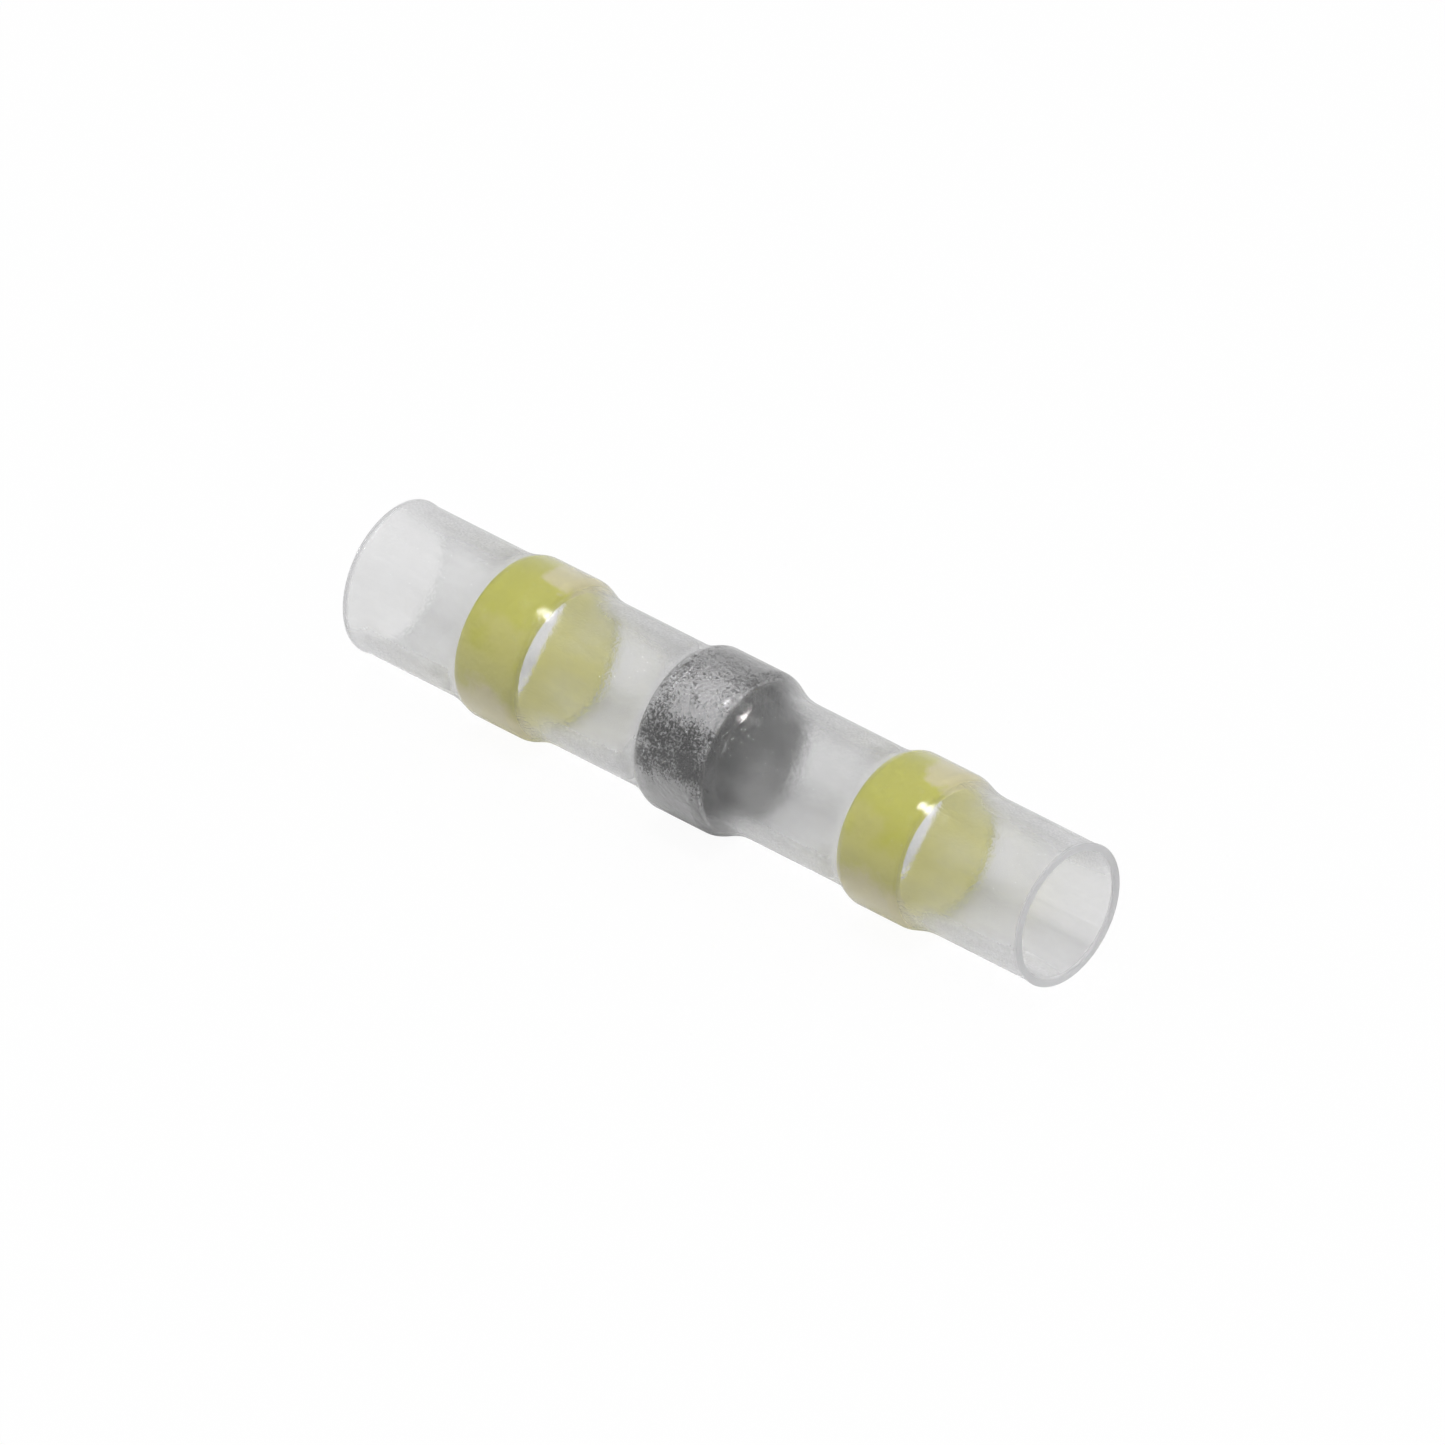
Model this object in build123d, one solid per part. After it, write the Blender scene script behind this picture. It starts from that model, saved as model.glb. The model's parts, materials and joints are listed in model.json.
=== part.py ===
from build123d import *
import os
from dataclasses import dataclass
from math import radians, tan

# A solder seal connector for splicing two stripped wires. A clear heat-shrink sleeve is drawn down over
# a ring of solder in the middle and a sealing ring of hot-melt adhesive near each end.
# It lies along X. The origin is on the axis, half way along the sleeve. Sizes are in millimetres.

# Heat-shrink sleeve
sleeve_length = 40.0
sleeve_wall = 0.36
lip_length = 0.4  # stretch beside each cut in which the sleeve turns out
lip_rise = 0.06  # how far the lip stands out at the cut
left_cut_skew = 2.3  # degrees by which the left cut leans from square
skew_turn = 48.0  # degrees from +Y towards +Z of that cut's longest side

# Sealing rings
seal_length = 3.45
seal_wall = 0.4
seal_edge = 0.2  # bevel of the outer edges
left_seal_radius = 3.54
right_seal_radius = 3.35
left_free_length = 7.0  # open sleeve from the left cut to the left ring
right_free_length = 7.05  # open sleeve from the right ring to the right cut

# Solder ring
solder_length = 3.8
solder_wall = 0.7
solder_edge = 0.35
solder_radius = 3.56
solder_offset = -0.4  # place of the ring's middle, a little left of the sleeve's

# How the sleeve grips the rings
grip_clearance = 0.02
left_end_drop = 0.33  # from the swell over a sealing ring down to the open sleeve outside it
right_end_drop = 0.37
left_neck_drop = 0.42  # from the smaller swell beside a neck down to the neck
right_neck_drop = 0.4
left_seal_drapes = (1.35, 1.4)  # how far the shoulders left and right of each ring run out past its ends
solder_drapes = (1.2, 1.85)
right_seal_drapes = (1.15, 1.5)

# Form of every shoulder
bend_lead = 0.45  # how far before the ring's end the outer face starts to bend
bend_reach = 0.16  # pull of the close bend at the top, as a share of the shoulder's length
hollow_reach = 0.58  # pull of the long hollow at the foot, as a share of the same
inner_reach = 0.55  # share of the drape in which the inner face comes down, for a nearly even wall


@dataclass(frozen=True)
class Ring:
    """A short tube on the axis that the sleeve is shrunk over."""

    middle: float
    length: float
    radius: float
    wall: float
    edge: float
    drapes: tuple

    @property
    def swell(self):
        """Outer radius of the sleeve where it is stretched over the ring."""
        return self.radius + grip_clearance + sleeve_wall

    @property
    def left(self):
        return self.middle - self.length / 2

    @property
    def right(self):
        return self.middle + self.length / 2


half_length = sleeve_length / 2
left_seal = Ring(
    middle=-half_length + left_free_length + seal_length / 2,
    length=seal_length,
    radius=left_seal_radius,
    wall=seal_wall,
    edge=seal_edge,
    drapes=left_seal_drapes,
)
solder = Ring(
    middle=solder_offset,
    length=solder_length,
    radius=solder_radius,
    wall=solder_wall,
    edge=solder_edge,
    drapes=solder_drapes,
)
right_seal = Ring(
    middle=half_length - right_free_length - seal_length / 2,
    length=seal_length,
    radius=right_seal_radius,
    wall=seal_wall,
    edge=seal_edge,
    drapes=right_seal_drapes,
)
rings = (left_seal, solder, right_seal)

# Outer radii of the sleeve's level stretches: a neck lies under the smaller of the two swells beside it
left_end_radius = left_seal.swell - left_end_drop
left_neck_radius = min(left_seal.swell, solder.swell) - left_neck_drop
right_neck_radius = min(solder.swell, right_seal.swell) - right_neck_drop
right_end_radius = right_seal.swell - right_end_drop
levels = (left_end_radius, left_neck_radius, right_neck_radius, right_end_radius)


def ring_solid(ring):
    """A ring turned from its section: a low rectangle, square in the bore, with its outer edges bevelled."""
    section = Pos(ring.middle, ring.radius - ring.wall / 2) * Rectangle(ring.length, ring.wall)
    outer_edges = section.vertices().sort_by(Axis.Y)[-2:]
    return revolve(chamfer(outer_edges, ring.edge), Axis.X)


def shoulder(top, foot):
    """The curve of a shoulder, from the close bend at its top to the long hollow at its foot."""
    length = foot[0] - top[0]
    bend_pull = (top[0] + bend_reach * length, top[1])
    hollow_pull = (foot[0] - hollow_reach * length, foot[1])
    return Bezier(top, bend_pull, hollow_pull, foot)


def outer_line(start, end):
    """Edges of the wall's outer line: level stretches, and a shoulder at each side of each ring."""
    edges = []
    last = start
    for ring, level_before, level_after in zip(rings, levels, levels[1:]):
        left_drape, right_drape = ring.drapes
        left_foot = (ring.left - left_drape, level_before)
        right_foot = (ring.right + right_drape, level_after)
        left_top = (ring.left + bend_lead, ring.swell)
        right_top = (ring.right - bend_lead, ring.swell)
        edges += [Line(last, left_foot), shoulder(left_top, left_foot)]
        edges += [Line(left_top, right_top), shoulder(right_top, right_foot)]
        last = right_foot
    return [*edges, Line(last, end)]


def inner_points():
    """Corners of the wall's inner line between the lips: level stretches, and tapers that start at the
    rings' bevels."""
    points = []
    for ring, level_before, level_after in zip(rings, levels, levels[1:]):
        left_drape, right_drape = ring.drapes
        points += [
            (ring.left - inner_reach * left_drape, level_before - sleeve_wall),
            (ring.left + ring.edge, ring.swell - sleeve_wall),
            (ring.right - ring.edge, ring.swell - sleeve_wall),
            (ring.right + inner_reach * right_drape, level_after - sleeve_wall),
        ]
    return points


def left_cut():
    """The plane of the left cut. Its longest side reaches the sleeve's full length."""
    lip_radius = left_end_radius + lip_rise
    on_axis = -half_length + lip_radius * tan(radians(left_cut_skew))
    normal = Vector(1, 0, 0).rotate(Axis.Z, left_cut_skew).rotate(Axis.X, skew_turn)
    return Plane(origin=(on_axis, 0, 0), z_dir=normal)


def sleeve_solid():
    """The sleeve, turned from its section. Its left lip is drawn on past the leaning cut, which trims it."""
    wall_depth = Vector(0, sleeve_wall)
    left_lip_start = Vector(-half_length + lip_length, left_end_radius)
    left_rim = left_lip_start + 2 * Vector(-lip_length, lip_rise)
    right_lip_start = Vector(half_length - lip_length, right_end_radius)
    right_rim = right_lip_start + Vector(lip_length, lip_rise)

    outer = [
        Line(left_rim, left_lip_start),
        *outer_line(left_lip_start, right_lip_start),
        Line(right_lip_start, right_rim),
    ]
    inner = Polyline(
        left_rim,
        left_rim - wall_depth,
        left_lip_start - wall_depth,
        *inner_points(),
        right_lip_start - wall_depth,
        right_rim - wall_depth,
        right_rim,
    )
    wall = revolve(make_face([*outer, *inner.edges()]), Axis.X)
    return split(wall, bisect_by=left_cut(), keep=Keep.TOP)


nodes = {
    "heat_shrink_sleeve": sleeve_solid(),
    "left_sealing_ring": ring_solid(left_seal),
    "solder_ring": ring_solid(solder),
    "right_sealing_ring": ring_solid(right_seal),
}

os.makedirs("parts", exist_ok=True)
for name, solid in nodes.items():
    export_step(solid, f"parts/{name}.step")
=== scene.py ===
import json
from math import cos, pi, radians, sin, tan

import bpy
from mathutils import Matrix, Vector


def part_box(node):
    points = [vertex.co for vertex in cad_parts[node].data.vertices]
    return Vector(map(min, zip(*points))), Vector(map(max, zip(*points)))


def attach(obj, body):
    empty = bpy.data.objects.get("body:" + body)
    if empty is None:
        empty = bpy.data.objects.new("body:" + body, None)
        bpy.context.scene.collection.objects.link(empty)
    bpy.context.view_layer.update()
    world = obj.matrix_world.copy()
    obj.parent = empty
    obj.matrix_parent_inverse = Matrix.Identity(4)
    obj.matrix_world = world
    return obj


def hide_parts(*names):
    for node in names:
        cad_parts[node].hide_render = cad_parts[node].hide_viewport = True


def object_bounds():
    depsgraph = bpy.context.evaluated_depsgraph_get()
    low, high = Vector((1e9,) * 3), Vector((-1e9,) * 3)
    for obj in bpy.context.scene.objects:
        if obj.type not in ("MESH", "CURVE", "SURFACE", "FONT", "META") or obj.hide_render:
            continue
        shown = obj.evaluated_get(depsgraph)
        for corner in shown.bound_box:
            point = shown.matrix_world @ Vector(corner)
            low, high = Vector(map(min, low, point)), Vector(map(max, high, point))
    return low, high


bl_info = {
    "name": "Solder Seal Wire Connector",
    "version": (1, 0, 0),
    "blender": (4, 5, 0),
    "location": "View3D > Sidebar > Connector",
    "description": "A clear shrunk sleeve over a solder ring and two sealing rings, lying on a pale floor",
    "category": "Object",
}

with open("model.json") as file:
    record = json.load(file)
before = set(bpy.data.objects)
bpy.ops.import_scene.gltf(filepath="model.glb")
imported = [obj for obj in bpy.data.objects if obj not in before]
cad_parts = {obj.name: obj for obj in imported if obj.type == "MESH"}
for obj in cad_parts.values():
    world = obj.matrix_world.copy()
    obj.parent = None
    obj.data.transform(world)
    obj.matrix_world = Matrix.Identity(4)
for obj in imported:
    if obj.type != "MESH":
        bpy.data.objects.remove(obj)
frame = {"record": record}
cad_low, cad_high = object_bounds()
mounts = {mount["name"]: mount["dims"] for mount in frame["record"]["mounts"]}

MM = 0.001
GROUP = "connector_settings"
SLEEVE, SOLDER = "heat_shrink_sleeve", "solder_ring"
SEALS = ("left_sealing_ring", "right_sealing_ring")
SEAL_BORES = ("left_seal_bore", "right_seal_bore")
SEAL_MIDDLE = 11.25  # place of the sealing rings along the tube, in millimetres to each side


def bore(mount):
    """The radius of one of the record's bores, in metres."""
    return mounts[mount]["r_mm"] * MM


def length_property(name, description, default_mm):
    return bpy.props.FloatProperty(
        name=name,
        description=description,
        default=default_mm * MM,
        subtype="DISTANCE",
        unit="LENGTH",
        precision=5,
    )


def colour_property(name, description, default):
    return bpy.props.FloatVectorProperty(
        name=name, description=description, default=default, size=3, min=0, max=1, subtype="COLOR"
    )


def share_property(name, description, default):
    return bpy.props.FloatProperty(
        name=name, description=description, default=default, min=0, max=1, subtype="FACTOR"
    )


def angle_property(name, description, default_degrees):
    return bpy.props.FloatProperty(
        name=name, description=description, default=radians(default_degrees), subtype="ANGLE"
    )


class SleeveSettings(bpy.types.PropertyGroup):
    """Sizes and colour of the clear outer tube."""

    wall: length_property("Wall", "Thickness of the shrunk wall", 0.36)
    clearance: length_property("Clearance", "Gap between the wall and the rings in it", 0.02)
    grip: length_property("Grip", "How far the rings stand out from their nominal size into the wall", 0.035)
    lip_length: length_property("Lip Length", "Stretch beside each cut in which the tube turns out", 0.4)
    lip_rise: length_property("Lip Rise", "How far the lip stands out at the cut", 0.06)
    rim_round: length_property("Rim Round", "Softening of the cut edges", 0.03)
    left_neck_drop: length_property("Left Neck Drop", "From the left swell down to the neck", 0.42)
    right_neck_drop: length_property("Right Neck Drop", "From the right swell down to the neck", 0.4)
    tint: colour_property("Tint", "Colour of the clear plastic", (0.9, 0.9, 0.905))
    haze: share_property("Haze", "Share of the wall that scatters light", 0.11)
    edge_haze: share_property("Edge Haze", "Further share where the wall is seen edge on", 0.7)


class SealSettings(bpy.types.PropertyGroup):
    """Sizes and colours of the two rings of hot-melt adhesive."""

    edge: length_property("Edge", "Rounding of the outer edges", 0.2)
    bore_edge: length_property("Bore Edge", "Rounding of the edges of the bore", 0.22)
    body: colour_property("Body", "Colour of the adhesive", (0.70, 0.71, 0.12))
    cloud: colour_property("Cloud", "Colour of its paler clouds", (0.81, 0.78, 0.34))
    glow: colour_property("Glow", "Colour of the light that comes through it", (0.8, 0.79, 0.25))
    bare: colour_property("Bare", "Colour where it has come away from the sleeve", (0.92, 0.86, 0.68))
    # painted shade: a darker olive along each ring's right-hand edge, where its end face turns away from the
    # light
    rim: colour_property("Rim", "Darker colour along the right-hand edge", (0.42, 0.42, 0.05))
    # painted light: the bore is given a paler, brighter yellow than the body, for the light that scatters
    # about inside it
    bore: colour_property("Bore", "Colour of the clean bore", (0.99, 0.96, 0.42))


class SolderSettings(bpy.types.PropertyGroup):
    """Sizes and colours of the solder ring."""

    edge: length_property("Edge", "Where the sleeve leaves the ring, measured from its ends", 0.35)
    outer_edge: length_property("Outer Edge", "Rounding of the outer edges", 0.14)
    bore_edge: length_property("Bore Edge", "Rounding of the edges of the bore", 0.03)
    bore_skin: length_property("Bore Skin", "How far the cast skin narrows the bore", 0.34)
    bright: colour_property("Bright", "Colour of the clean metal", (0.56, 0.56, 0.56))
    dull: colour_property("Dull", "Colour of the grey film on it", (0.085, 0.085, 0.085))
    # painted shade: the bore and the ring's ends are coloured near black, for the shade inside the ring
    bore: colour_property("Bore", "Colour of the darker metal in the bore", (0.02, 0.02, 0.02))


class StageSettings(bpy.types.PropertyGroup):
    """The pale floor, the lights and the view."""

    floor: colour_property("Floor", "Colour of the floor", (0.86, 0.86, 0.86))
    sky: share_property("Sky", "Brightness of the soft light from above", 1.0)
    room: share_property("Room", "Brightness of the room's sides", 0.55)
    azimuth: angle_property("Azimuth", "Turn of the view round the connector", 41.94)
    elevation: angle_property("Elevation", "Height of the view above the floor", 34.14)
    view_width: length_property("View Width", "Width that the picture takes in", 63.75)


class ConnectorSettings(bpy.types.PropertyGroup):
    """All that the sidebar shows."""

    sleeve: bpy.props.PointerProperty(type=SleeveSettings)
    seal: bpy.props.PointerProperty(type=SealSettings)
    solder: bpy.props.PointerProperty(type=SolderSettings)
    stage: bpy.props.PointerProperty(type=StageSettings)


# Shader maths


class Value:
    """What a node gives out. Arithmetic on a number adds the Math nodes that work it out."""

    def __init__(self, shader, socket):
        self.shader, self.socket = shader, socket

    def maths(self, operation, *others):
        return self.shader.add("ShaderNodeMath", {"operation": operation}, *others)

    def __add__(self, other):
        return self.maths("ADD", self, other)

    def __sub__(self, other):
        return self.maths("SUBTRACT", self, other)

    def __rsub__(self, other):
        return self.maths("SUBTRACT", other, self)

    def __mul__(self, other):
        return self.maths("MULTIPLY", self, other)

    def __pow__(self, other):
        return self.maths("POWER", self, other)

    def __abs__(self):
        return self.maths("ABSOLUTE", self, 0)

    def sign(self):
        return self.maths("SIGN", self, 0)

    def highest(self, other):
        return self.maths("MAXIMUM", self, other)

    def lowest(self, other):
        return self.maths("MINIMUM", self, other)

    __radd__ = __add__
    __rmul__ = __mul__


class Shader:
    """The nodes of a material or of the world, added one by one."""

    def __init__(self, name, library=None):
        self.owner = (bpy.data.materials if library is None else library).new(name)
        self.owner.use_nodes = True
        self.nodes, self.links = self.owner.node_tree.nodes, self.owner.node_tree.links
        self.nodes.clear()

    def add(self, kind, settings=None, *inputs, output=0, **named):
        """Add a node. Its settings come first, then the values or links of its sockets."""
        node = self.nodes.new(kind)
        for key, value in (settings or {}).items():
            setattr(node, key, value)
        for key, value in [*enumerate(inputs), *named.items()]:
            socket = node.inputs[key.replace("_", " ") if isinstance(key, str) else key]
            if isinstance(value, Value):
                self.links.new(value.socket, socket)
            elif value is not None:
                socket.default_value = value
        return Value(self, node.outputs[output]) if node.outputs else None

    def place(self, scale=(1 / MM,) * 3):
        """The point's place on the piece, in millimetres or scaled for a pattern."""
        coordinates = self.add("ShaderNodeTexCoord", output="Object")
        return self.add("ShaderNodeMapping", None, coordinates, Scale=scale)

    def across(self):
        """The point's place across the tube, in millimetres from the axis."""
        return self.place((0, 1 / MM, 1 / MM))

    def along(self):
        """The point's place along the tube, in millimetres."""
        return self.add("ShaderNodeSeparateXYZ", None, self.place())

    def dot(self, first, second):
        return self.add("ShaderNodeVectorMath", {"operation": "DOT_PRODUCT"}, first, second, output="Value")

    def toward(self, angle):
        """From 1 on the side of the tube that faces an angle down to -1 opposite.

        The angle is in degrees and turns from +Y to +Z."""
        outward = self.add("ShaderNodeVectorMath", {"operation": "NORMALIZE"}, self.across())
        return self.dot(outward, (0, cos(radians(angle)), sin(radians(angle))))

    def side(self, angle, low, high):
        """A soft-edged strip along the tube, on the side that faces an angle."""
        return self.ramp(self.toward(angle), low, high)

    def sides(self, strips):
        """The sum of such strips, each given by its angle, the two ends of its soft edge and its weight."""
        return sum(self.side(angle, low, high) * weight for angle, low, high, weight in strips)

    def radius(self):
        """Distance of the point from the connector's axis, in millimetres."""
        return self.add("ShaderNodeVectorMath", {"operation": "LENGTH"}, self.across(), output="Value")

    def noise(self, size, detail, stretch=(1, 1, 1), roughness=0.5, distortion=0.0):
        """Cloudy noise from 0 to 1, with clouds of about the given size in metres."""
        scale = tuple(1 / (size * share) for share in stretch)
        return self.add(
            "ShaderNodeTexNoise",
            {"normalize": True},
            Vector=self.place(scale),
            Scale=1.0,
            Detail=detail,
            Roughness=roughness,
            Distortion=distortion,
        )

    def ramp(self, value, low, high):
        """0 where the value is under low, 1 over high, smooth between them."""
        return self.add(
            "ShaderNodeMapRange", {"interpolation_type": "SMOOTHSTEP"}, value, From_Min=low, From_Max=high
        )

    def blend(self, factor, first, second):
        """A colour between two."""
        settings = {"data_type": "RGBA", "clamp_factor": True}
        other_sockets = [None] * 5
        return self.add("ShaderNodeMix", settings, factor, *other_sockets, first, second, output=2)

    def bump(self, height, distance, under=None):
        """A normal raised by a height from 0 to 1, where 1 stands for the distance."""
        return self.add("ShaderNodeBump", None, Height=height, Distance=distance, Normal=under)

    def mix(self, factor, first, second):
        return self.add("ShaderNodeMixShader", None, factor, first, second)

    def translucent(self, colour, relief):
        return self.add("ShaderNodeBsdfTranslucent", None, Color=rgba(colour), Normal=relief)

    def let_lamp_through(self, surface, colour):
        """Let the lamp's light straight through, tinted, so that clear pieces cast no dark shadow."""
        tinted = self.add("ShaderNodeBsdfTransparent", None, Color=rgba(colour))
        return self.mix(self.add("ShaderNodeLightPath", output="Is Shadow Ray"), surface, tinted)

    def finish(self, surface, output="ShaderNodeOutputMaterial"):
        self.add(output, None, Surface=surface)
        return self.owner


def rgba(colour, gain=1.0):
    return (*(min(1.0, part * gain) for part in colour), 1.0)


# Modelling

NEARNESS = 0.01 * MM  # a vertex this near a circle lies on it
SMOOTH_ANGLE = radians(40)


def deselect_all():
    bpy.ops.object.select_all(action="DESELECT")


def make_active(piece):
    deselect_all()
    piece.select_set(True)
    bpy.context.view_layer.objects.active = piece


def turned(name, profile, around):
    """Draw a circle on from station to station along a closed profile, and close it into a ring."""
    deselect_all()
    (x, radius), *stations = profile
    bpy.ops.mesh.primitive_circle_add(
        vertices=around, radius=radius, location=(x, 0, 0), rotation=(0, pi / 2, 0)
    )
    piece = bpy.context.object
    piece.name = piece.data.name = name
    bpy.ops.object.transform_apply()
    bpy.ops.object.mode_set(mode="EDIT")
    bpy.ops.mesh.select_mode(type="EDGE")
    bpy.ops.mesh.select_all(action="SELECT")
    for next_x, next_radius in stations:
        bpy.ops.mesh.extrude_region_move(TRANSFORM_OT_translate={"value": (next_x - x, 0, 0)})
        scale = next_radius / radius
        bpy.ops.transform.resize(value=(1, scale, scale), center_override=(next_x, 0, 0))
        x, radius = next_x, next_radius
    bpy.ops.mesh.select_all(action="DESELECT")
    bpy.ops.mesh.select_non_manifold()
    bpy.ops.mesh.bridge_edge_loops()
    bpy.ops.mesh.select_all(action="SELECT")
    bpy.ops.mesh.normals_make_consistent(inside=False)
    bpy.ops.mesh.select_all(action="DESELECT")
    bpy.ops.object.mode_set(mode="OBJECT")
    return piece


def select_circles(piece, circles):
    """Select the circles about the axis that are given by their place along it and their radius."""
    vertices = piece.data.vertices
    for vertex in vertices:
        radius = Vector(vertex.co.yz).length
        vertex.select = any(
            abs(vertex.co.x - x) < NEARNESS and abs(radius - circle) < NEARNESS for x, circle in circles
        )
    for edge in piece.data.edges:
        edge.select = all(vertices[index].select for index in edge.vertices)


def round_circles(piece, circles, size, segments):
    """Round the edges that run along circles about the axis."""
    make_active(piece)
    for polygon in piece.data.polygons:
        polygon.select = False
    select_circles(piece, circles)
    bpy.ops.object.mode_set(mode="EDIT")
    bpy.ops.mesh.bevel(offset=size, segments=segments, profile=0.5, affect="EDGES")
    bpy.ops.object.mode_set(mode="OBJECT")


def smooth_shaded(piece):
    make_active(piece)
    bpy.ops.object.shade_smooth_by_angle(angle=SMOOTH_ANGLE, keep_sharp_edges=False)


def dressed(piece, material, node):
    """Give a piece its material and its place on the part."""
    piece.data.materials.clear()
    piece.data.materials.append(material)
    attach(piece, "root")
    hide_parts(node)


# Sleeve

FACETS = 128  # sides of every turned piece
LEFT_LIP_RADIUS = 3.65 * MM  # outer radius at the left cut
LEFT_CUT_SKEW = radians(2.3)  # lean of the left cut
SKEW_TURN = radians(48.0)  # from +Y towards +Z, where that cut's longest side is
LEAN_REACH = 1.2  # depth of the rim that leans with the cut, in roundings of its edge
LEVEL_STEP = 1.2 * MM  # between the stations of a level stretch
SHOULDER_STEPS = 14
SHOULDER_CROWDING = 1.25  # over 1, the stations crowd towards a shoulder's top
BEND_LEAD = 0.45 * MM  # how far before a ring's end the outer face starts to bend
BEND_REACH, HOLLOW_REACH = 0.16, 0.58  # pulls at a shoulder's top and foot, as shares of its length
INNER_REACH = 0.55  # share of the shoulder in which the inner face comes down
# how far the shoulders left and right of each ring run out past its ends, in millimetres
DRAPES = {SEALS[0]: (1.35, 1.4), SOLDER: (1.2, 1.85), SEALS[1]: (1.15, 1.5)}

STREAK_SIZE, HAZE_CLOUD_SIZE, HAZE_GRAIN_SIZE, PIT_SIZE = 1.1 * MM, 3.2 * MM, 0.09 * MM, 0.16 * MM
STREAK_STRETCH, PIT_STRETCH = (9, 1, 1), (1.5, 1, 1)
STREAK_HEIGHT, PIT_HEIGHT, GLINT_HEIGHT = 0.03 * MM, 0.012 * MM, 0.09 * MM
PLASTIC_IOR, SURFACE_IOR = 1.45, 1.5  # of the plastic itself, and for the shine on it
CLEAR_ROUGHNESS, EDGE_ROUGHNESS, SHEEN_ROUGHNESS = 0.05, 0.4, 0.04
# painted shade: strips low on the tube take a darker tint, standing for the floor's contact shadow seen
# through the wall
CONTACT_SHADE_STRIPS = ((-85, 0.7, 0.73, 0.3), (-85, 0.86, 0.89, 0.45), (-67, 0.95, 0.985, 0.35))
CONTACT_SHADE_GAIN = 0.76
HAZE_BAND, EDGE_ON_BAND = (0.38, 0.66), (0.32, 0.66)
LEAST_HAZE, CLOUD_HAZE = 0.45, 1.1  # as shares of the haze that is set
LEAST_GRAIN, GRAIN_RISE = 0.6, 0.8
PRESSED_SHIFT, PRESSED_SPAN = 0.4, (1.9, 4.0)  # in millimetres along the tube
PRESSED_CLARITY, PRESSED_EDGE_CLARITY = 0.65, 0.8  # how much of the haze is gone there
CUT_HAZE, LEFT_RIM_SHARE = 0.95, 0.65
LEFT_RIM, RIGHT_RIM = (0.12, 0.02), (0.2, 0.1)  # soft edge of each milky rim, in millimetres from the cut
# the right cut's frosted rim takes a greyer milk than the left one, painted shade for the little light its
# face gets
MILK, SHADED_RIGHT_RIM_MILK = (0.85, 0.85, 0.86), (0.76, 0.76, 0.77)
MILK_THROUGH = 0.6  # share of its light that comes through from behind
SLEEVE_LIGHT = (0.9, 0.9, 0.9)  # what the sleeve lets through of the lamp


def cubic(points, share):
    """A point on a cubic curve between the first and the last of four points."""
    rest = 1 - share
    weights = (rest**3, 3 * rest**2 * share, 3 * rest * share**2, share**3)
    return tuple(sum(weight * point[axis] for weight, point in zip(weights, points)) for axis in (0, 1))


def shoulder(top, painted_foot_light):
    """Stations from the close bend at a shoulder's top to the long hollow at its foot."""
    length = painted_foot_light[0] - top[0]
    curve = (top, (top[0] + BEND_REACH * length, top[1]), (painted_foot_light[0] - HOLLOW_REACH * length, painted_foot_light[1]), painted_foot_light)
    return [cubic(curve, (step / SHOULDER_STEPS) ** SHOULDER_CROWDING) for step in range(SHOULDER_STEPS + 1)]


def level(start, end):
    """Stations strictly between two ends, about evenly spaced, for a straight stretch."""
    steps = max(1, round(abs(end[0] - start[0]) / LEVEL_STEP))
    return [
        tuple(start[axis] + (end[axis] - start[axis]) * step / steps for axis in (0, 1))
        for step in range(1, steps)
    ]


def sleeve_profile(sizes, edges):
    """The closed line of the wall: along the outside from left to right, and back along the inside."""
    wall = sizes.wall
    swells, ends = {}, {}
    for node in DRAPES:
        low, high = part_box(node)
        swells[node] = high.z + sizes.clearance + wall
        ends[node] = (low.x, high.x)
    left, middle, right = DRAPES
    levels = (
        bore("left_wire_entry") + wall,
        min(swells[left], swells[middle]) - sizes.left_neck_drop,
        min(swells[middle], swells[right]) - sizes.right_neck_drop,
        bore("right_wire_entry") + wall,
    )
    outer = [(cad_low.x, levels[0] + sizes.lip_rise), (cad_low.x + sizes.lip_length, levels[0])]
    inner = [(x, radius - wall) for x, radius in outer]
    for node, before, after in zip(DRAPES, levels, levels[1:]):
        left_drape, right_drape = (drape * MM for drape in DRAPES[node])
        start, end = ends[node]
        rise = shoulder((start + BEND_LEAD, swells[node]), (start - left_drape, before))[::-1]
        fall = shoulder((end - BEND_LEAD, swells[node]), (end + right_drape, after))
        for stretch in (rise, fall):
            outer += [*level(outer[-1], stretch[0]), *stretch]
        for corner in (
            (start - INNER_REACH * left_drape, before - wall),
            (start + edges[node], swells[node] - wall),
            (end - edges[node], swells[node] - wall),
            (end + INNER_REACH * right_drape, after - wall),
        ):
            inner += [*level(inner[-1], corner), corner]
    lip = (cad_high.x - sizes.lip_length, levels[3])
    rim = (cad_high.x, levels[3] + sizes.lip_rise)
    outer += [*level(outer[-1], lip), lip, rim]
    inner_lip, inner_rim = ((x, radius - wall) for x, radius in (lip, rim))
    inner += [*level(inner[-1], inner_lip), inner_lip, inner_rim]
    return outer + inner[::-1]


def pressed_clear(shader):
    """1 over the rings and just right of them, where the wall is pressed clear, and 0 away from them."""
    along = shader.along() - PRESSED_SHIFT
    from_ring = abs(along).lowest(abs(abs(along) - SEAL_MIDDLE))
    return 1 - shader.ramp(from_ring, *PRESSED_SPAN)


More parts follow.
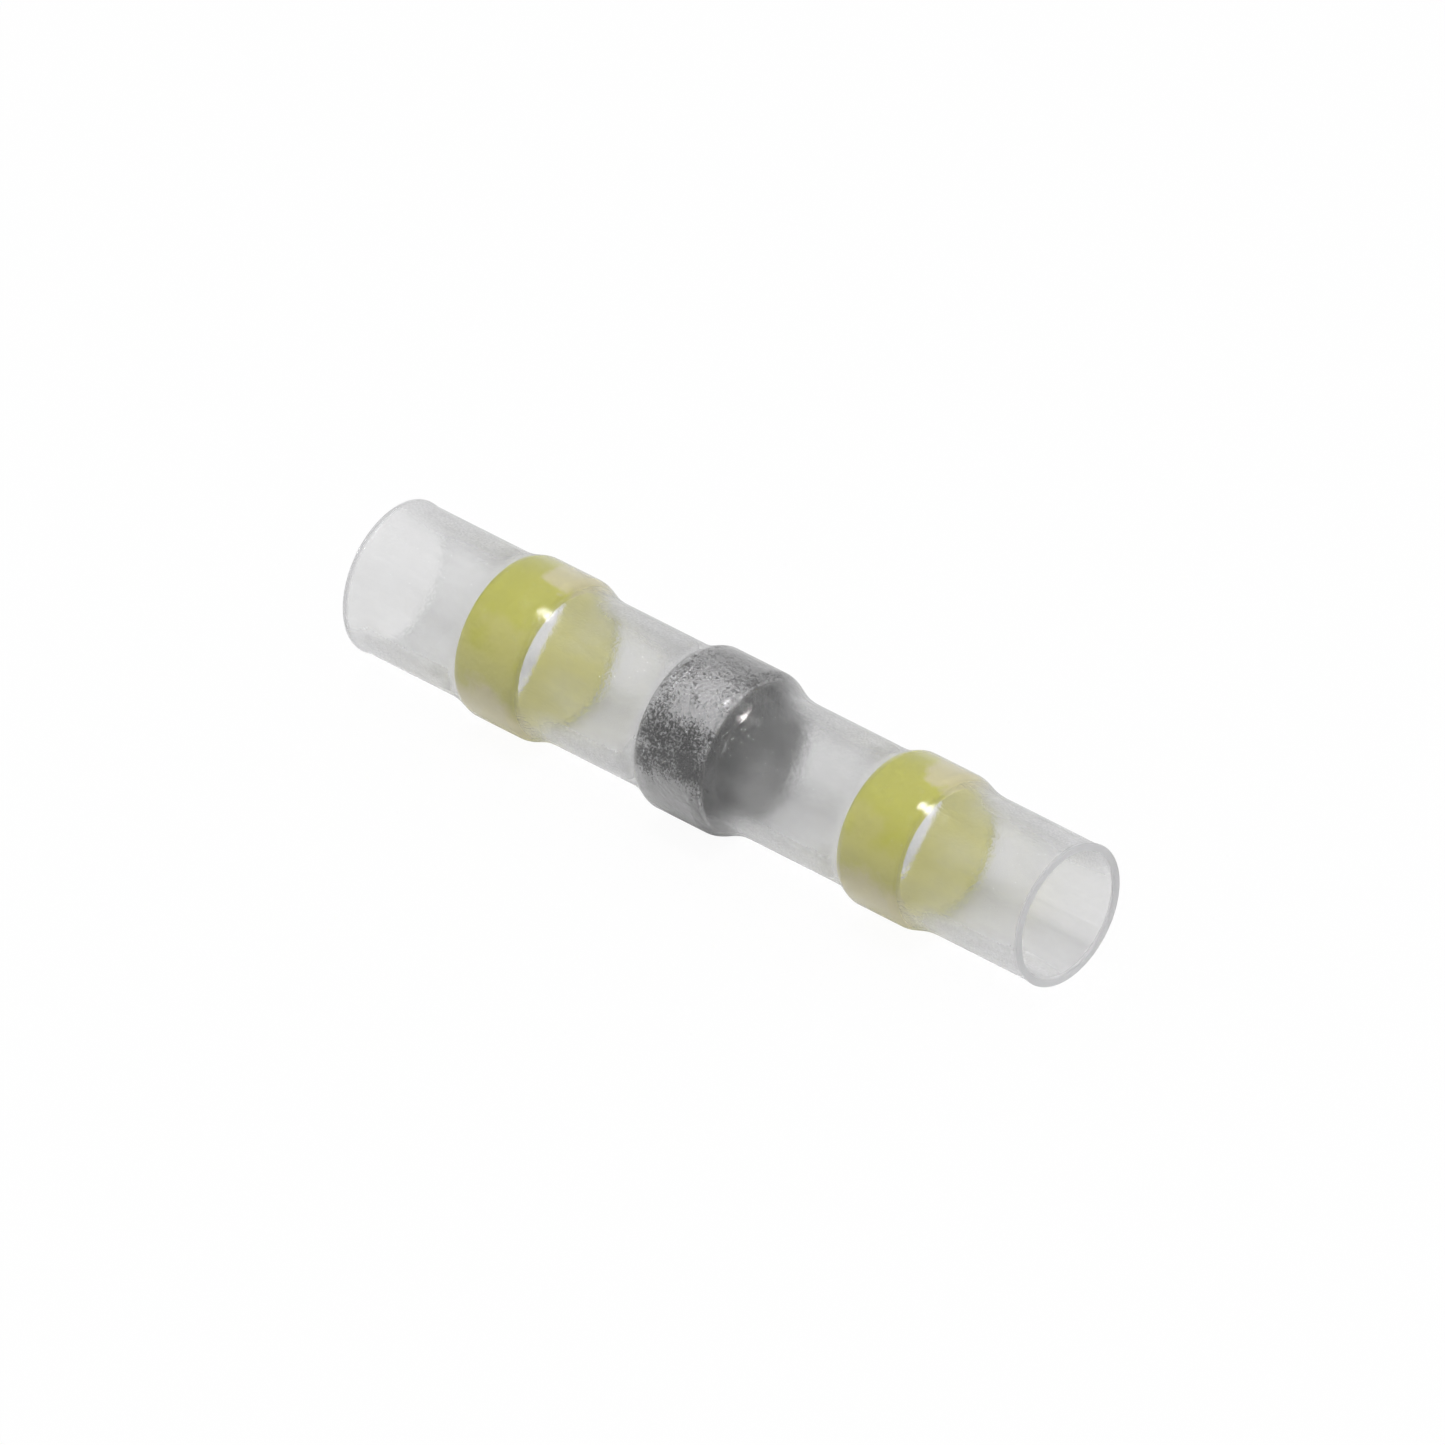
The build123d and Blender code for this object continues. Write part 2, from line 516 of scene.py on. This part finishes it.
def wall_haze(shader, sizes, streaks, edge_on):
    """How much the wall scatters: a little in soft clouds, and far more where it is seen edge on."""
    clouds = shader.noise(HAZE_CLOUD_SIZE, 3)
    grain = shader.noise(HAZE_GRAIN_SIZE, 2)
    pressed = pressed_clear(shader)
    cloudy = shader.ramp((streaks + clouds) * 0.5, *HAZE_BAND) * CLOUD_HAZE + LEAST_HAZE
    cloudy = cloudy * sizes.haze * (1 - pressed * PRESSED_CLARITY)
    at_edge = shader.ramp(edge_on, *EDGE_ON_BAND) * sizes.edge_haze * (1 - pressed * PRESSED_EDGE_CLARITY)
    return (cloudy + at_edge) * (grain * GRAIN_RISE + LEAST_GRAIN)


def cut_rims(shader):
    """The milky rims beside the left and the right cut."""
    lean = sin(LEFT_CUT_SKEW)
    outward = (-cos(LEFT_CUT_SKEW), -lean * cos(SKEW_TURN), -lean * sin(SKEW_TURN))
    left_cut = (-cad_low.x - LEFT_LIP_RADIUS * tan(LEFT_CUT_SKEW)) * cos(LEFT_CUT_SKEW) / MM
    right_cut = cad_high.x / MM
    left_reach = shader.dot(shader.place(), outward)
    left = shader.ramp(left_reach, left_cut - LEFT_RIM[0], left_cut - LEFT_RIM[1]) * LEFT_RIM_SHARE
    right = shader.ramp(shader.along(), right_cut - RIGHT_RIM[0], right_cut - RIGHT_RIM[1])
    return left, right


def milk(shader, colour, relief):
    """Cloudy plastic, which scatters light back and lets more of it through."""
    back = shader.add("ShaderNodeBsdfDiffuse", None, Color=rgba(colour), Normal=relief)
    return shader.mix(MILK_THROUGH, back, shader.translucent(colour, relief))


def sleeve_material(sizes):
    shader = Shader("clear_shrunk_plastic")
    streaks = shader.noise(STREAK_SIZE, 4, stretch=STREAK_STRETCH, roughness=0.6)
    pits = shader.noise(PIT_SIZE, 3, stretch=PIT_STRETCH, roughness=0.65)
    relief = shader.bump(streaks, STREAK_HEIGHT)
    edge_on = shader.add("ShaderNodeLayerWeight", None, 0.5, output="Facing")
    # painted shade: the wall's tint is darkened along those strips, for the contact shadow under the tube
    contact_shaded = rgba(sizes.tint, CONTACT_SHADE_GAIN)
    clear = shader.add(
        "ShaderNodeBsdfPrincipled",
        {"distribution": "MULTI_GGX"},
        Base_Color=shader.blend(shader.sides(CONTACT_SHADE_STRIPS), rgba(sizes.tint), contact_shaded),
        Roughness=edge_on**3 * EDGE_ROUGHNESS + CLEAR_ROUGHNESS,
        IOR=PLASTIC_IOR,
        Transmission_Weight=1.0,
        Normal=shader.bump(pits, PIT_HEIGHT, under=relief),
    )
    left_rim, right_rim = cut_rims(shader)
    haze = wall_haze(shader, sizes, streaks, edge_on) + left_rim.highest(right_rim) * CUT_HAZE
    # the right rim takes the greyer milk, painted shade on the cut
    milky = shader.mix(right_rim, milk(shader, MILK, relief), milk(shader, SHADED_RIGHT_RIM_MILK, relief))
    glints = shader.bump(pits, GLINT_HEIGHT, under=relief)
    sheen = shader.add("ShaderNodeBsdfGlossy", None, Roughness=SHEEN_ROUGHNESS, Normal=glints)
    outside = 1 - shader.add("ShaderNodeNewGeometry", output="Backfacing")
    shine = shader.add("ShaderNodeFresnel", None, IOR=SURFACE_IOR) * outside
    wall = shader.mix(shine, shader.mix(haze, clear, milky), sheen)
    return shader.finish(shader.let_lamp_through(wall, SLEEVE_LIGHT))


def lean_left_cut(piece, rim_radius, edge):
    """Lean the left cut, so that its longest side still reaches the sleeve's full length."""
    lean = tan(LEFT_CUT_SKEW)
    toward_longest = Vector((0, cos(SKEW_TURN), sin(SKEW_TURN)))
    for vertex in piece.data.vertices:
        if vertex.co.x < cad_low.x + LEAN_REACH * edge:
            vertex.co.x += (rim_radius - toward_longest.dot(vertex.co)) * lean


class CONNECTOR_OT_sleeve(bpy.types.Operator):
    """Add the clear sleeve, drawn down over the rings"""

    bl_idname = "connector.sleeve"
    bl_label = "Sleeve"

    def execute(self, context):
        settings = getattr(context.scene, GROUP)
        sizes = settings.sleeve
        edges = {node: settings.seal.edge for node in SEALS} | {SOLDER: settings.solder.edge}
        profile = sleeve_profile(sizes, edges)
        piece = turned("sleeve", profile, FACETS)
        left_rim = profile[0][1]
        right_rim = max(radius for x, radius in profile if x > cad_high.x - NEARNESS)
        rims = [
            (cad_low.x, left_rim),
            (cad_low.x, left_rim - sizes.wall),
            (cad_high.x, right_rim),
            (cad_high.x, right_rim - sizes.wall),
        ]
        round_circles(piece, rims, sizes.rim_round, segments=3)
        lean_left_cut(piece, left_rim, sizes.rim_round)
        smooth_shaded(piece)
        dressed(piece, sleeve_material(sizes), SLEEVE)
        return {"FINISHED"}


# Rings

CLOUD_SIZE, GRAIN_SIZE, WAVE_SIZE, RAG_SIZE = 1.6 * MM, 0.16 * MM, 0.9 * MM, 0.9 * MM
GRAIN_HEIGHT, WAVE_HEIGHT = 0.01 * MM, 0.12 * MM
ADHESIVE_IOR, ADHESIVE_ROUGHNESS = 1.48, 0.38
ADHESIVE_THROUGH, BORE_THROUGH_DROP = 0.6, 0.25  # share of light from behind, and how much less in the bore
# strips along the tube, each by its angle from +Y to +Z and the two ends of its soft edge: painted shade on
# the crown, painted light low on the near side
SHADED_CROWN, LIT_FOOT = (95, 0.75, 1.0), (205, 0.55, 1.0)
CROWN_SHADE_DEPTH, FOOT_LIGHT, CROWN_SHADE = 0.5, 0.4, 0.85
PALE_BAND = (0.3, 0.65)
TOP_PATCH_SIDE, TOP_PATCH_EDGE = 58, (3.65, 3.95)
LOW_PATCH_SIDE, LOW_PATCH_EDGE = 215, (3.0, 3.6)
PATCH_HOLD, RAGGEDNESS = 3.5, 1.1  # how firmly a patch keeps to its side, and how far its edge wanders
TOP_LEAN, MOST_TOP_LEAN, LOW_LEAN = 0.5, 0.3, 0.3  # change across the ring, for each millimetre
BARE_SHARE, EDGE_SHADE_SHARE = 0.9, 0.35
EDGE_SHADE_SPAN = (1.4, 1.7)  # in millimetres right of a ring's middle
BORE_DEPTHS = (-0.12, -0.04)  # where the bore's colour sets in, in millimetres towards the axis from its face
# painted shade: the bore is coloured darker on its near side and full bright on its far side
FAR_BORE_SIDE, FAR_BORE_BAND, FAR_BORE_CLOUDS = 48, (-0.5, 0.9), 0.8
NEAR_BORE_SHADE = 0.68
ADHESIVE_LIGHT = (0.84, 0.83, 0.66)  # what the adhesive lets through of the lamp

BLOTCH_SIZE, FLECK_SIZE, SPECK_SIZE = 1.3 * MM, 0.2 * MM, 0.1 * MM
BLOTCH_SHARE, FLECK_SHARE, SPECK_SHARE = 0.35, 0.3, 0.35
BLOTCH_HEIGHT, FLECK_HEIGHT = 0.12 * MM, 0.07 * MM
# painted reflection: the grey film is thickened in a dark band across the front and thinned in bright bands
# above and below it, for the dim room, the lamp and the floor that the metal mirrors
REFLECTION_BANDS = ((164, 0.84, 0.98, 0.06), (116, 0.92, 0.99, -0.03), (208, 0.8, 0.97, -0.1))
FILM_BAND, BORE_BLOTCH_BAND = (0.45, 0.58), (0.35, 0.65)
SKIN_SPAN = (0.3, 0.06)  # in millimetres inside the ring's outer face
DARK_BORE, PALE_BORE = 0.4, 1.5
METAL_ROUGHNESS, FILM_ROUGHNESS = 0.16, 0.25


def ring_profile(node, bore_radius, grip):
    """The closed section of a ring, which the sleeve grips so tightly that it sinks into the wall a hair."""
    low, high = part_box(node)
    middle, radius = (low.x + high.x) / 2, high.z + grip
    return [
        (low.x, radius),
        (middle, radius),
        (high.x, radius),
        (high.x, bore_radius),
        (middle, bore_radius),
        (low.x, bore_radius),
    ]


def add_ring(name, node, bore_radius, edge, bore_edge, grip):
    """A short tube with rounded edges."""
    profile = ring_profile(node, bore_radius, grip)
    piece = turned(name, profile, FACETS)
    round_circles(piece, [profile[0], profile[2]], edge, segments=6)
    round_circles(piece, [profile[3], profile[5]], bore_edge, segments=3)
    smooth_shaded(piece)
    return piece


def bare_patches(shader, from_middle):
    """Ragged patches high on one side and low on the other, where the sleeve isn't stuck to the ring."""
    ragged = shader.noise(RAG_SIZE, 3) * RAGGEDNESS
    top_lean = (from_middle * TOP_LEAN).lowest(MOST_TOP_LEAN)
    top = shader.ramp(shader.toward(TOP_PATCH_SIDE) * PATCH_HOLD + ragged + top_lean, *TOP_PATCH_EDGE)
    low_lean = abs(from_middle) * LOW_LEAN
    low = shader.ramp(shader.toward(LOW_PATCH_SIDE) * PATCH_HOLD + ragged - low_lean, *LOW_PATCH_EDGE)
    return top.highest(low) * BARE_SHARE


def bore_face(shader, along):
    """1 on the face of a sealing ring's bore and 0 on the rest of the ring."""
    left, right = (bore(mount) / MM for mount in SEAL_BORES)
    bore_radius = along.sign() * ((right - left) / 2) + (left + right) / 2
    return shader.ramp(bore_radius - shader.radius(), *BORE_DEPTHS)


def adhesive_material(colours):
    shader = Shader("yellow_adhesive")
    clouds = shader.noise(CLOUD_SIZE, 3, roughness=0.55)
    grain = shader.noise(GRAIN_SIZE, 2)
    waves = shader.noise(WAVE_SIZE, 2)
    relief = shader.bump(grain, GRAIN_HEIGHT, under=shader.bump(waves, WAVE_HEIGHT))
    along = shader.along()
    from_middle = along - along.sign() * SEAL_MIDDLE
    # painted shade darkens the top of the ring, and painted light makes its foot paler; the clouds themselves
    # are the adhesive's own
    painted_crown_shade = shader.side(*SHADED_CROWN) * CROWN_SHADE_DEPTH
    painted_foot_light = shader.side(*LIT_FOOT) * FOOT_LIGHT
    clouds_and_painted_light = shader.ramp(clouds - painted_crown_shade + painted_foot_light, *PALE_BAND)
    colour = shader.blend(clouds_and_painted_light, rgba(colours.body), rgba(colours.cloud))
    colour = shader.blend(painted_crown_shade, colour, rgba(colours.body, CROWN_SHADE))
    patches = bare_patches(shader, from_middle)
    colour = shader.blend(patches, colour, rgba(colours.bare))
    # painted shade along the right-hand edge of each ring, where its end face turns away from the light
    colour = shader.blend(shader.ramp(from_middle, *EDGE_SHADE_SPAN) * EDGE_SHADE_SHARE, colour, rgba(colours.rim))
    # painted light in the bore, shaded darker towards its near side
    inside = bore_face(shader, along)
    lit_far_side = shader.ramp(shader.toward(FAR_BORE_SIDE) + clouds * FAR_BORE_CLOUDS, *FAR_BORE_BAND)
    bore_colour = shader.blend(lit_far_side, rgba(colours.bore, NEAR_BORE_SHADE), rgba(colours.bore))
    body = shader.add(
        "ShaderNodeBsdfPrincipled",
        None,
        Base_Color=shader.blend(inside, colour, bore_colour),
        Roughness=ADHESIVE_ROUGHNESS,
        IOR=ADHESIVE_IOR,
        Normal=relief,
    )
    glow = shader.translucent(colours.glow, relief)
    bare_glow = shader.translucent(colours.bare, relief)
    bore_glow = shader.translucent(colours.bore, relief)
    through = shader.mix(inside, shader.mix(patches, glow, bare_glow), bore_glow)
    ring = shader.mix(ADHESIVE_THROUGH - inside * BORE_THROUGH_DROP, body, through)
    return shader.finish(shader.let_lamp_through(ring, ADHESIVE_LIGHT))


class CONNECTOR_OT_sealing_rings(bpy.types.Operator):
    """Add the two rings of yellow hot-melt adhesive"""

    bl_idname = "connector.sealing_rings"
    bl_label = "Sealing Rings"

    def execute(self, context):
        settings = getattr(context.scene, GROUP).seal
        grip = getattr(context.scene, GROUP).sleeve.grip
        material = adhesive_material(settings)
        for node, mount in zip(SEALS, SEAL_BORES):
            name = node.replace("sealing_ring", "seal")
            piece = add_ring(name, node, bore(mount), settings.edge, settings.bore_edge, grip)
            dressed(piece, material, node)
        return {"FINISHED"}


def solder_material(colours, outer_radius):
    shader = Shader("cast_solder")
    blotches = shader.noise(BLOTCH_SIZE, 5, roughness=0.62, distortion=0.4)
    flecks = shader.noise(FLECK_SIZE, 4, roughness=0.7)
    specks = shader.noise(SPECK_SIZE, 3, roughness=0.7)
    mottled = blotches * BLOTCH_SHARE + flecks * FLECK_SHARE + specks * SPECK_SHARE
    # the film's mottling is its own; the bands added to it by side are painted reflection
    film_and_reflection = shader.ramp(mottled + shader.sides(REFLECTION_BANDS), *FILM_BAND)
    face = shader.blend(film_and_reflection, rgba(colours.bright), rgba(colours.dull))
    # painted shade: below the outer face, the ends and the bore take the near-black bore colour, blotched
    # darker and paler
    dark, pale = rgba(colours.bore, DARK_BORE), rgba(colours.bore, PALE_BORE)
    inner_face = shader.blend(shader.ramp(blotches, *BORE_BLOTCH_BAND), dark, pale)
    outside = shader.ramp(shader.radius(), *(outer_radius / MM - depth for depth in SKIN_SPAN))
    metal = shader.add(
        "ShaderNodeBsdfPrincipled",
        None,
        Base_Color=shader.blend(outside, inner_face, face),
        Metallic=1.0,
        Roughness=film_and_reflection * FILM_ROUGHNESS + METAL_ROUGHNESS,
        Normal=shader.bump(flecks, FLECK_HEIGHT, under=shader.bump(blotches, BLOTCH_HEIGHT)),
    )
    return shader.finish(metal)


class CONNECTOR_OT_solder_ring(bpy.types.Operator):
    """Add the grey ring of solder"""

    bl_idname = "connector.solder_ring"
    bl_label = "Solder Ring"

    def execute(self, context):
        settings = getattr(context.scene, GROUP).solder
        grip = getattr(context.scene, GROUP).sleeve.grip
        bore_radius = bore("solder_bore") - settings.bore_skin
        piece = add_ring("solder", SOLDER, bore_radius, settings.outer_edge, settings.bore_edge, grip)
        outer_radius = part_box(SOLDER)[1].z + grip
        dressed(piece, solder_material(settings, outer_radius), SOLDER)
        return {"FINISHED"}


# Stage

FLOOR_SIZE = 6.0
FLOOR_GLOW = 0.95  # how far the floor seen straight is its own even white
THROUGH_GLOW = 0.2  # the same for the floor seen in a gloss or through the clear sleeve
PAPER = 0.68  # brightness of that white for all but the camera
HORIZON, OVERHEAD = (0.03, 0.12), (0.45, 0.85)  # heights between which the room dims, and brightens again
LENS = 900.0  # so long that the view is nearly parallel
SENSOR = 36.0
CLIP_START, CLIP_END = 0.01, 100.0
CAMERA_AIM = (-0.277 * MM, 0.95 * MM)  # how far right of and above the tube's middle the view is centred


def seen(shader):
    """How much the floor glows by itself, and how bright.

    It does so fully for the camera, and less in a gloss or through clear plastic."""
    camera, gloss, through = (
        shader.add("ShaderNodeLightPath", output=f"Is {kind} Ray")
        for kind in ("Camera", "Glossy", "Transmission")
    )
    glow = (camera * FLOOR_GLOW).highest(gloss.highest(through) * THROUGH_GLOW)
    return glow, camera * (1 - PAPER) + PAPER


def floor_material(colour):
    shader = Shader("pale_floor")
    lit = shader.add("ShaderNodeBsdfDiffuse", None, Color=rgba(colour))
    glow, whiteness = seen(shader)
    white = shader.add("ShaderNodeEmission", None, Color=rgba((1, 1, 1)), Strength=whiteness)
    return shader.finish(shader.mix(glow, lit, white))


def room_light(settings):
    """Soft light that is bright overhead and along the horizon, and dimmer between."""
    shader = Shader("room_light", bpy.data.worlds)
    direction = shader.add("ShaderNodeTexCoord", output="Generated")
    height = shader.add("ShaderNodeSeparateXYZ", None, direction, output=2)
    room = 1 - shader.ramp(height, *HORIZON) * (1 - settings.room)
    sky = room + shader.ramp(height, *OVERHEAD) * (settings.sky - settings.room)
    light = shader.add("ShaderNodeBackground", None, Color=rgba((1, 1, 1)), Strength=sky)
    return shader.finish(light, "ShaderNodeOutputWorld")


def add_lamp(name, direction, distance, size, power):
    """A square area lamp that faces the connector."""
    deselect_all()
    toward = Vector(direction).normalized()
    bpy.ops.object.light_add(
        type="AREA", location=toward * distance, rotation=toward.to_track_quat("Z", "Y").to_euler()
    )
    lamp = bpy.context.object
    lamp.name = name
    lamp.data.size, lamp.data.energy = size, power


class CONNECTOR_OT_stage(bpy.types.Operator):
    """Add the pale floor, the soft lights and the camera"""

    bl_idname = "connector.stage"
    bl_label = "Stage"

    def execute(self, context):
        settings = getattr(context.scene, GROUP).stage
        deselect_all()
        bpy.ops.mesh.primitive_plane_add(size=FLOOR_SIZE, location=(0, 0, cad_low.z))
        floor = context.object
        floor.name = "floor"
        floor.data.materials.append(floor_material(settings.floor))

        context.scene.world = room_light(settings)

        add_lamp("overhead", direction=(0.0, -0.1, 0.98), distance=0.45, size=0.05, power=0.5)

        azimuth, elevation = settings.azimuth, settings.elevation
        back = Vector((sin(azimuth) * cos(elevation), -cos(azimuth) * cos(elevation), sin(elevation)))
        right = Vector((cos(azimuth), sin(azimuth), 0))
        up = back.cross(right)
        aim = right * CAMERA_AIM[0] + up * CAMERA_AIM[1]
        distance = settings.view_width * LENS / SENSOR
        bpy.ops.object.camera_add(
            location=aim + back * distance, rotation=back.to_track_quat("Z", "Y").to_euler()
        )
        camera = context.object
        camera.name = "camera"
        camera.data.lens, camera.data.sensor_width = LENS, SENSOR
        camera.data.clip_start, camera.data.clip_end = CLIP_START, CLIP_END
        context.scene.camera = camera
        context.scene.view_settings.view_transform = "Standard"
        return {"FINISHED"}


class CONNECTOR_PT_panel(bpy.types.Panel):
    """The connector's pieces and settings"""

    bl_label = "Wire Connector"
    bl_idname = "CONNECTOR_PT_panel"
    bl_space_type = "VIEW_3D"
    bl_region_type = "UI"
    bl_category = "Connector"

    def draw(self, context):
        settings = getattr(context.scene, GROUP)
        for part, operators in PANEL_ROWS.items():
            box = self.layout.box()
            for operator in operators:
                box.operator(operator.bl_idname)
            group = getattr(settings, part)
            for key in group.__annotations__:
                box.prop(group, key)


PANEL_ROWS = {
    "sleeve": (CONNECTOR_OT_sleeve,),
    "seal": (CONNECTOR_OT_sealing_rings,),
    "solder": (CONNECTOR_OT_solder_ring,),
    "stage": (CONNECTOR_OT_stage,),
}

classes = (
    SleeveSettings,
    SealSettings,
    SolderSettings,
    StageSettings,
    ConnectorSettings,
    CONNECTOR_OT_sleeve,
    CONNECTOR_OT_sealing_rings,
    CONNECTOR_OT_solder_ring,
    CONNECTOR_OT_stage,
    CONNECTOR_PT_panel,
)


def register():
    for each in classes:
        bpy.utils.register_class(each)
    setattr(bpy.types.Scene, GROUP, bpy.props.PointerProperty(type=ConnectorSettings))


def unregister():
    delattr(bpy.types.Scene, GROUP)
    for each in reversed(classes):
        bpy.utils.unregister_class(each)


def main():
    register()
    bpy.ops.connector.sleeve()
    bpy.ops.connector.sealing_rings()
    bpy.ops.connector.solder_ring()
    bpy.ops.connector.stage()


if __name__ == "__main__":
    main()
